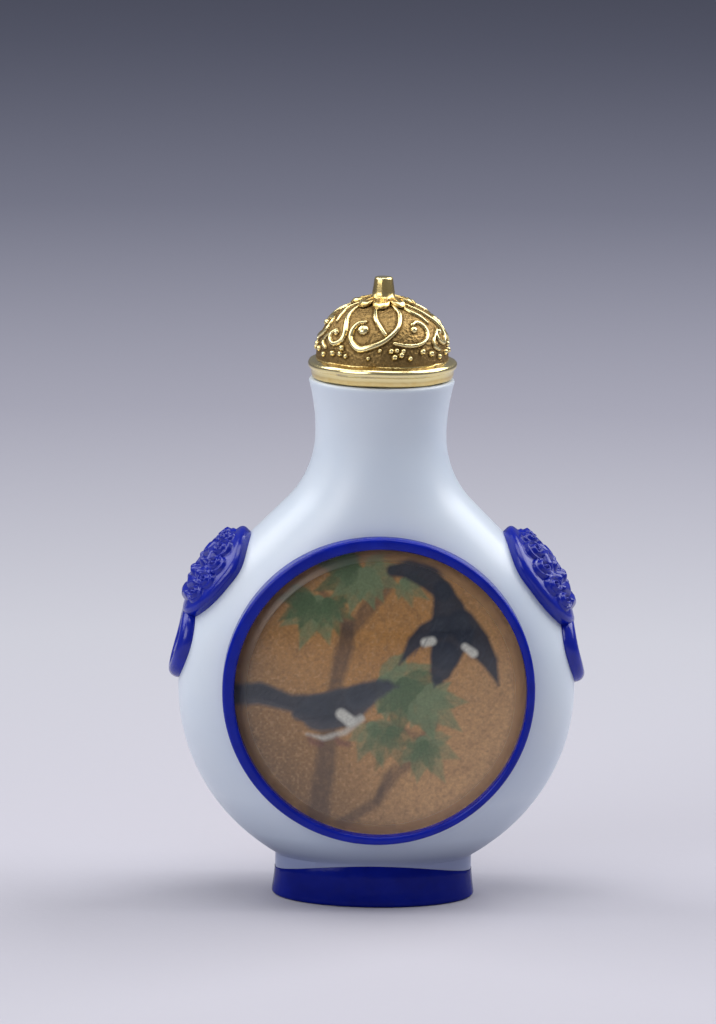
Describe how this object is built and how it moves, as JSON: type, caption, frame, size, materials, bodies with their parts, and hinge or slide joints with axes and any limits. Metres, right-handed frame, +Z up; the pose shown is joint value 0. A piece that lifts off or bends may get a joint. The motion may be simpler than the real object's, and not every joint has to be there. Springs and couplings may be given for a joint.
{
  "type": "snuff bottle",
  "caption": "Flattened round flask of opaque white glass with blue overlay foot, rings and lion mask handles, a painted plaque under domed crystal on each face, and a gilt stopper",
  "frame": {"origin": "centre of the foot, on the surface it stands on", "axes": "+Z up, -Y towards the painted front, +X to the right as the picture shows it"},
  "size_m": [0.044, 0.021, 0.0661],
  "materials": {
    "white_glass": "polished opaque white glass, faintly blue",
    "blue_glass": "polished deep cobalt blue glass, carved",
    "crystal": "clear polished rock crystal, domed and bevelled",
    "painted_plaque": "painted birds, leaves and branches on a speckled amber ground",
    "gilt_metal": "gilded, worn bright on the relief and darker in the ground"
  },
  "bodies": {
    "root": {"bottle": "white_glass", "foot_band": "blue_glass", "front_ring": "blue_glass", "back_ring": "blue_glass", "left_mask": "blue_glass", "right_mask": "blue_glass", "front_plaque": "painted_plaque", "back_plaque": "painted_plaque", "front_crystal": "crystal", "back_crystal": "crystal", "stopper": "gilt_metal"}
  },
  "joints": []
}
